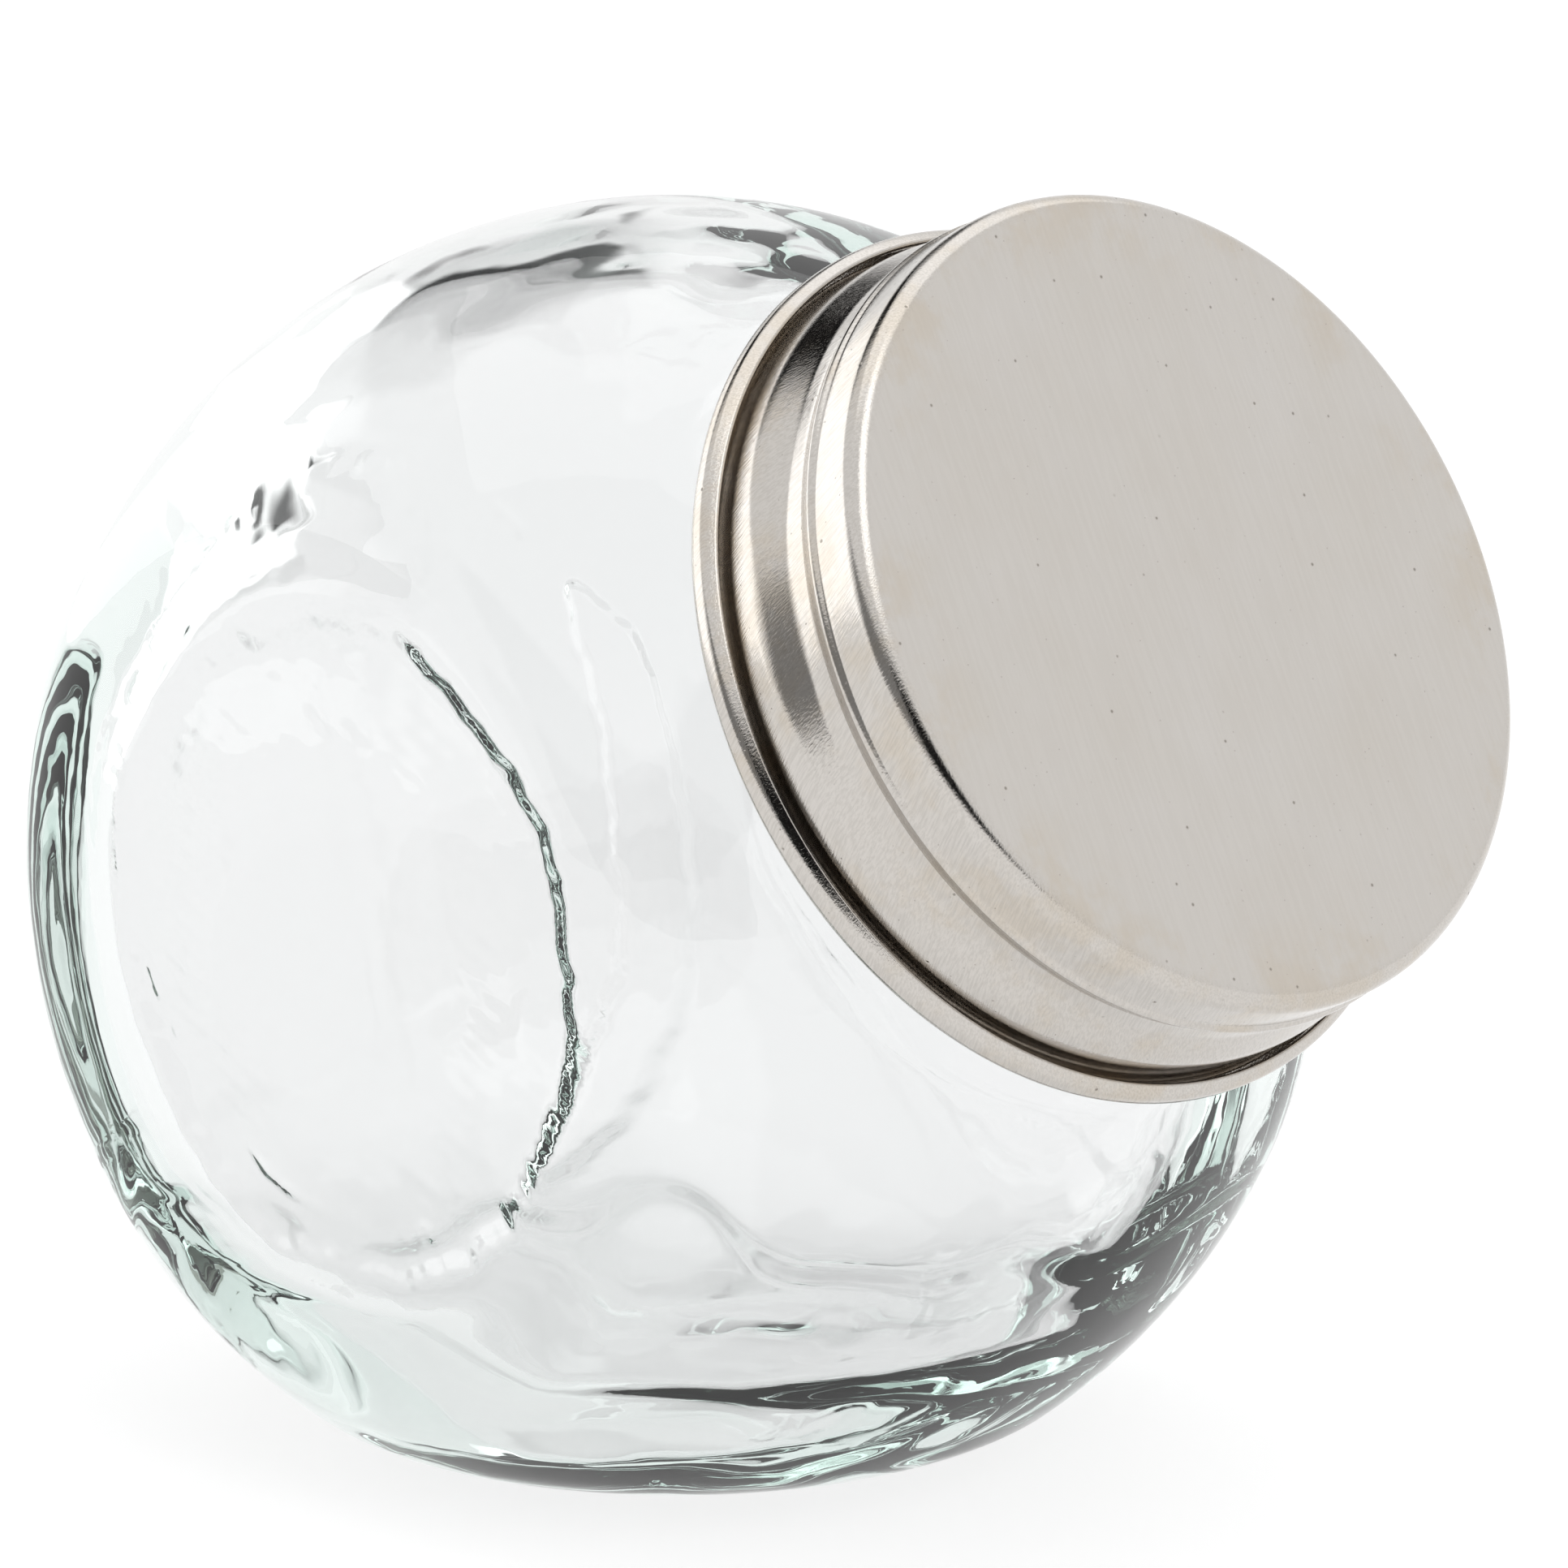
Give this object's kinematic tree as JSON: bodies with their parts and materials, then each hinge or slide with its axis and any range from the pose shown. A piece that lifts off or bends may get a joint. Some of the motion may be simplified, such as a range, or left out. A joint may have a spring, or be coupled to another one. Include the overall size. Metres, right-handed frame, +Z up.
{
  "type": "coin bank jar",
  "caption": "Small tilted round glass jar with flat side panels, a flat base and a plain screw-on metal lid, for keeping coins or sweets.",
  "frame": {"origin": "middle of the flat base, below the drum's centre", "axes": "+Z up, the neck and lid lean towards +X, and the drum's axis and flat side panels are along Y"},
  "size_m": [0.0867, 0.0538, 0.0718],
  "materials": {
    "glass": "clear moulded soda-lime glass, faintly green in its thick edges, with a slightly wavy inside",
    "lid_metal": "bright satin sheet metal with fine specks and handling scratches",
    "liner": "soft white foamed plastic"
  },
  "bodies": {
    "jar": {"jar_body": "glass"},
    "seal": {"lid_liner": "liner"},
    "lid": {"lid_shell": "lid_metal"}
  },
  "joints": [
    {"name": "lid_turn", "type": "hinge", "parent": "seal", "child": "lid", "pos_m": [0.0357, 0, 0.05004], "axis": [0.8926, 0, 0.4509], "range_deg": [0, 1080]},
    {"name": "lid_rise", "type": "slide", "parent": "jar", "child": "seal", "axis": [0.8926, 0, 0.4509], "range_m": [0, 0.0128]}
  ],
  "couplings": [
    {"joint": "lid_rise", "follows": "lid_turn", "m_per_rad": 0.0006737}
  ]
}
